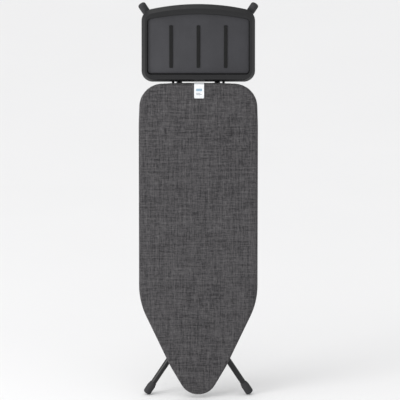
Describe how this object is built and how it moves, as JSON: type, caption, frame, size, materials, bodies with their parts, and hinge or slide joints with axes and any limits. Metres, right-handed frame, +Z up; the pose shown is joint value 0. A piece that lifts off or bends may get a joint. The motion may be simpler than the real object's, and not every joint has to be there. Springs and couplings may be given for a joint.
{
  "type": "ironing board",
  "caption": "Folding ironing board with a padded woven cover, scissor legs and a solid steam-unit holder, folded flat and standing on its feet.",
  "frame": {"origin": "on the floor, under the middle of the folded board's bounding box", "axes": "+Z up towards the holder, the cover faces -Y, the legs are on the +Y side, +X to the right seen from the cover's side"},
  "size_m": [0.46, 0.071, 1.5625],
  "materials": {
    "cover_fabric": "charcoal slub weave",
    "label_fabric": "white woven label",
    "felt": "needled felt",
    "mesh_metal": "coated expanded metal",
    "black_steel": "satin black powder coat",
    "zinc_steel": "bright zinc plate",
    "spring_steel": "oiled spring steel",
    "black_plastic": "fine moulded texture",
    "heat_plate": "matte heat-resistant panel",
    "rest_silicone": "matte silicone",
    "foot_rubber": "matte rubber",
    "white_nylon": "natural nylon"
  },
  "bodies": {
    "board": {"cover": "cover_fabric", "cover_label": "label_fabric", "felt_pad": "felt", "mesh_top": "mesh_metal", "frame_tube_left": "black_steel", "frame_tube_right": "black_steel", "brace_nose": "black_steel", "brace_middle": "black_steel", "brace_tail": "black_steel", "guide_rail_left": "black_steel", "guide_rail_right": "black_steel", "hinge_bracket_left": "zinc_steel", "hinge_bracket_right": "zinc_steel", "latch_bracket_left": "zinc_steel", "latch_bracket_right": "zinc_steel", "hinge_axle": "zinc_steel", "hinge_axle_caps": "black_plastic", "frame_rivets": "zinc_steel", "latch_pin": "zinc_steel", "latch_spring": "spring_steel", "holder_tray": "black_plastic", "holder_plate": "heat_plate", "rest_strip_left": "rest_silicone", "rest_strip_middle": "rest_silicone", "rest_strip_right": "rest_silicone", "holder_wire": "black_steel", "holder_clips": "black_plastic", "frame_clips": "black_plastic", "clip_screws": "zinc_steel"},
    "inner_legs": {"inner_leg_left": "black_steel", "inner_leg_right": "black_steel", "inner_lugs": "black_steel", "inner_tube_plugs": "black_plastic", "inner_cross_tube_upper": "black_steel", "inner_cross_tube_lower": "black_steel", "inner_foot_left": "foot_rubber", "inner_foot_right": "foot_rubber", "crossing_axle": "zinc_steel", "crossing_washers": "white_nylon", "crossing_caps": "black_plastic"},
    "outer_legs": {"outer_leg_left": "black_steel", "outer_leg_right": "black_steel", "outer_lugs": "black_steel", "outer_tube_plugs": "black_plastic", "outer_cross_tube": "black_steel", "outer_foot_left": "foot_rubber", "outer_foot_right": "foot_rubber"},
    "slide": {"slide_axle": "zinc_steel", "glide_shoe_left": "white_nylon", "glide_shoe_right": "white_nylon"},
    "latch": {"latch_plate": "black_steel", "latch_grip": "black_plastic"}
  },
  "joints": [
    {"name": "fold", "type": "hinge", "parent": "board", "child": "inner_legs", "pos_m": [0, -0.00005, 1.181], "axis": [1, 0, 0], "range_deg": [0, 50]},
    {"name": "crossing", "type": "hinge", "parent": "inner_legs", "child": "outer_legs", "pos_m": [0, 0.01995, 0.781], "axis": [1, 0, 0], "range_deg": [-100, 0]},
    {"name": "slide_pivot", "type": "hinge", "parent": "outer_legs", "child": "slide", "pos_m": [0, -0.00005, 0.381], "axis": [1, 0, 0], "range_deg": [0, 50]},
    {"name": "latch_swing", "type": "hinge", "parent": "board", "child": "latch", "pos_m": [0, -0.00305, 0.9], "axis": [1, 0, 0], "range_deg": [0, 2.5], "stiffness_Nm_per_rad": 5, "springref_deg": -20.05}
  ],
  "couplings": [
    {"joint": "crossing", "follows": "fold", "ratio": -2},
    {"joint": "slide_pivot", "follows": "fold", "ratio": 1}
  ]
}
